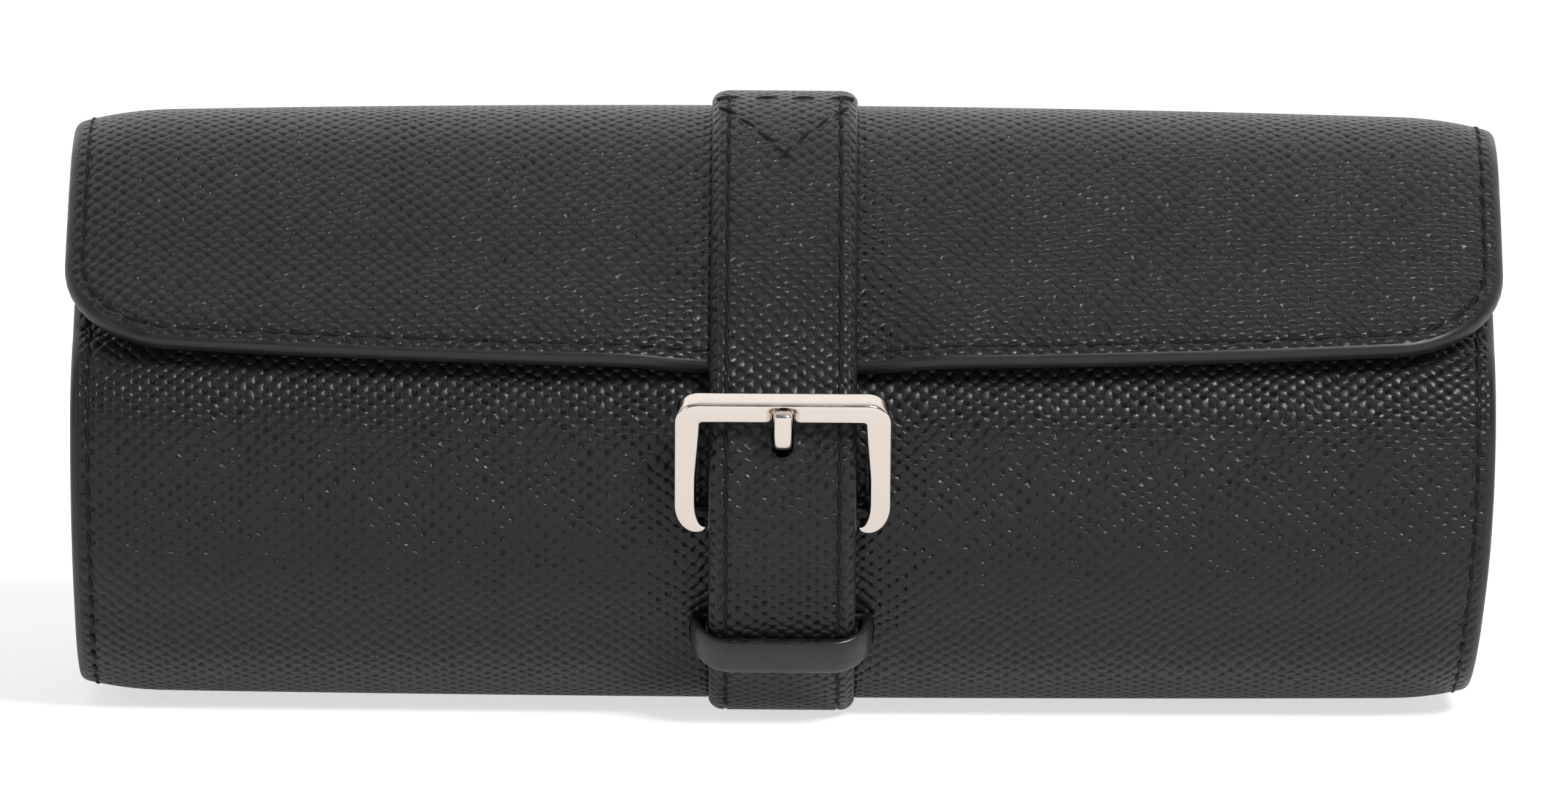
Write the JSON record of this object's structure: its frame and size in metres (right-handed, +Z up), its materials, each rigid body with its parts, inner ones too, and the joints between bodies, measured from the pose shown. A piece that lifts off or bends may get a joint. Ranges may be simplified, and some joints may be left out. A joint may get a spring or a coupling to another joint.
{
  "type": "watch roll",
  "caption": "Round padded leather watch roll with a fold-over flap, a buckled centre strap with a sliding keeper, and a removable bayed cushion insert.",
  "frame": {"origin": "on the surface it rests on, under the middle of the roll", "axes": "+X along the roll to the right as seen from the buckle's side, -Y to the buckle's side, +Z up"},
  "size_m": [0.2144, 0.103, 0.0928],
  "materials": {
    "grained_leather": "satin",
    "smooth_leather": "satin",
    "suede": "matte",
    "board": "matte",
    "polished_nickel": "polished",
    "foam": "matte"
  },
  "bodies": {
    "body": {"body_outer": "grained_leather", "body_board": "board", "body_lining": "suede", "fold_outer": "grained_leather", "fold_lining": "suede", "chape": "smooth_leather"},
    "flap": {"flap_outer": "grained_leather", "flap_board": "board", "flap_lining": "suede", "strap_face": "grained_leather", "strap_lining": "smooth_leather"},
    "buckle": {"buckle_frame": "polished_nickel", "heel_bar": "polished_nickel"},
    "tongue": {"buckle_tongue": "polished_nickel"},
    "keeper": {"keeper": "smooth_leather"},
    "cushion": {"cushion_core": "foam", "cushion_sleeve": "suede", "end_pad_left": "suede", "end_pad_right": "suede", "divider_left": "suede", "divider_right": "suede"}
  },
  "joints": [
    {"name": "flap_hinge", "type": "hinge", "parent": "body", "child": "flap", "pos_m": [0, 0.01786, 0.08624], "axis": [-1, 0, 0], "range_deg": [0, 150], "deforming": ["strap_face", "strap_lining", "fold_outer", "fold_lining"]},
    {"name": "buckle_swing", "type": "hinge", "parent": "body", "child": "buckle", "pos_m": [0, -0.04502, 0.03519], "axis": [1, 0, 0], "range_deg": [0, 37.5]},
    {"name": "tongue_swing", "type": "hinge", "parent": "buckle", "child": "tongue", "pos_m": [0, -0.04502, 0.03519], "axis": [1, 0, 0], "range_deg": [0, 30]},
    {"name": "keeper_slide", "type": "hinge", "parent": "body", "child": "keeper", "pos_m": [0, 0, 0.046], "axis": [-1, 0, 0], "range_deg": [-12, 5]},
    {"name": "cushion_slide", "type": "slide", "parent": "body", "child": "cushion", "axis": [1, 0, 0], "range_m": [0, 0.215]}
  ],
  "couplings": [
    {"joint": "buckle_swing", "follows": "flap_hinge", "ratio": 0.25},
    {"joint": "tongue_swing", "follows": "flap_hinge", "ratio": 0.2}
  ]
}
